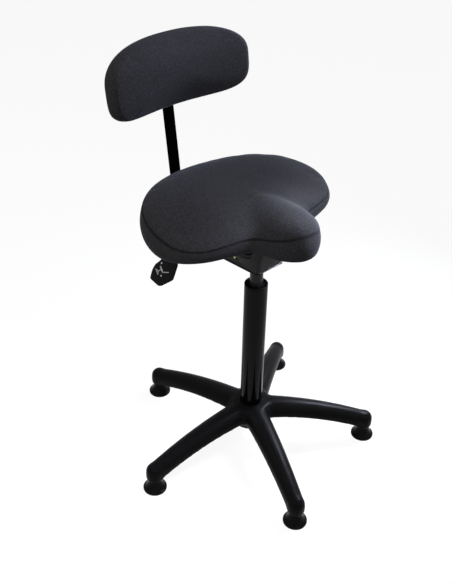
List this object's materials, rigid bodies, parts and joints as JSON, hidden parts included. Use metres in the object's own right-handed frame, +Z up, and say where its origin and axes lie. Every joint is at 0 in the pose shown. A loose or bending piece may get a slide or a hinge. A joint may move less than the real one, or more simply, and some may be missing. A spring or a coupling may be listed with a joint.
{
  "type": "perch stool",
  "caption": "Perch stool with a padded saddle seat, small padded backrest on a flat steel bar, gas-lift column with side lever, and a star base on glides",
  "frame": {"origin": "on the floor, under the middle of the stool's bounding box", "axes": "+Z up, the seat's nose points to -Y, the backrest stands at +Y, and the height lever is on the sitter's right, at -X"},
  "size_m": [0.5518, 0.5986, 0.8982],
  "materials": {
    "base_nylon": "fine-grained satin black nylon",
    "glide_plastic": "satin black",
    "black_paint": "satin black powder coat",
    "column_gloss": "gloss black",
    "gloss_black": "gloss black",
    "bright_steel": "bright zinc plated",
    "buffer_rubber": "matte black",
    "pale_plastic": "pale grey, smooth",
    "yellow_zinc": "yellow zinc plated",
    "grip_plastic": "satin black",
    "shell_plastic": "fine-grained matte black",
    "plywood": "raw plywood",
    "charcoal_fabric": "close-woven charcoal cloth with fine blue-grey flecks"
  },
  "bodies": {
    "base": {"base_star": "base_nylon", "hub_sleeve": "black_paint", "glide_1": "glide_plastic", "glide_2": "glide_plastic", "glide_3": "glide_plastic", "glide_4": "glide_plastic", "glide_5": "glide_plastic", "glide_stem_1": "bright_steel", "glide_stem_2": "bright_steel", "glide_stem_3": "bright_steel", "glide_stem_4": "bright_steel", "glide_stem_5": "bright_steel", "column_tube": "column_gloss", "guide_bush": "gloss_black", "bearing_washer_lower": "bright_steel", "thrust_bearing": "bright_steel"},
    "rod": {"piston_rod": "bright_steel", "bearing_washer_upper": "bright_steel", "buffer": "buffer_rubber", "retaining_clip": "bright_steel"},
    "upper": {"gas_cylinder": "column_gloss", "rod_guide": "bright_steel", "mechanism_housing": "black_paint", "cone_bush": "bright_steel", "top_plate": "black_paint", "blanking_plug": "gloss_black", "blanking_plug_disc": "pale_plastic", "side_screw": "yellow_zinc", "lever_bush": "grip_plastic", "bar_guide": "bright_steel", "seat_board": "plywood", "seat_cushion": "charcoal_fabric", "seat_screw_1": "bright_steel", "seat_screw_2": "bright_steel", "seat_screw_3": "bright_steel", "seat_screw_4": "bright_steel"},
    "pin": {"release_pin": "bright_steel"},
    "lever": {"lever_rod": "black_paint", "lever_grip": "grip_plastic"},
    "bar": {"backrest_bar": "black_paint", "bar_cap": "grip_plastic"},
    "lower_knob": {"depth_knob": "grip_plastic", "depth_knob_screw": "bright_steel"},
    "backrest": {"back_receiver": "shell_plastic", "back_shell": "shell_plastic", "back_cushion": "charcoal_fabric", "back_screw_1": "bright_steel", "back_screw_2": "bright_steel", "back_screw_3": "bright_steel", "back_screw_4": "bright_steel"},
    "rear_knob": {"back_knob": "grip_plastic", "back_knob_screw": "bright_steel"}
  },
  "joints": [
    {"name": "seat_swivel", "type": "hinge", "parent": "base", "child": "rod", "pos_m": [0.02024, -0.02219, 0.06], "axis": [0, 0, 1], "continuous": true},
    {"name": "seat_lift", "type": "slide", "parent": "rod", "child": "upper", "axis": [0, 0, 1], "range_m": [0, 0.25]},
    {"name": "height_lever", "type": "hinge", "parent": "upper", "child": "lever", "pos_m": [-0.02401, 0.02781, 0.538], "axis": [0, 1, 0], "range_deg": [0, 7], "stiffness_Nm_per_rad": 0.6, "springref_deg": -11.46},
    {"name": "release_pin_slide", "type": "slide", "parent": "upper", "child": "pin", "axis": [0, 0, -1], "range_m": [0, 0.006]},
    {"name": "backrest_depth", "type": "slide", "parent": "upper", "child": "bar", "axis": [0, 1, 0], "range_m": [-0.01, 0.03]},
    {"name": "depth_knob_turn", "type": "hinge", "parent": "upper", "child": "lower_knob", "pos_m": [0.02024, 0.09581, 0.49], "axis": [0, 0, 1], "range_deg": [0, 180]},
    {"name": "backrest_height", "type": "slide", "parent": "bar", "child": "backrest", "axis": [0, 0.1374, 0.9905], "range_m": [-0.05, 0.02]},
    {"name": "rear_knob_turn", "type": "hinge", "parent": "backrest", "child": "rear_knob", "pos_m": [0.02024, 0.28216, 0.7919], "axis": [0, 0.9905, -0.1374], "range_deg": [0, 180]}
  ],
  "couplings": [
    {"joint": "release_pin_slide", "follows": "height_lever", "m_per_rad": 0.047}
  ]
}
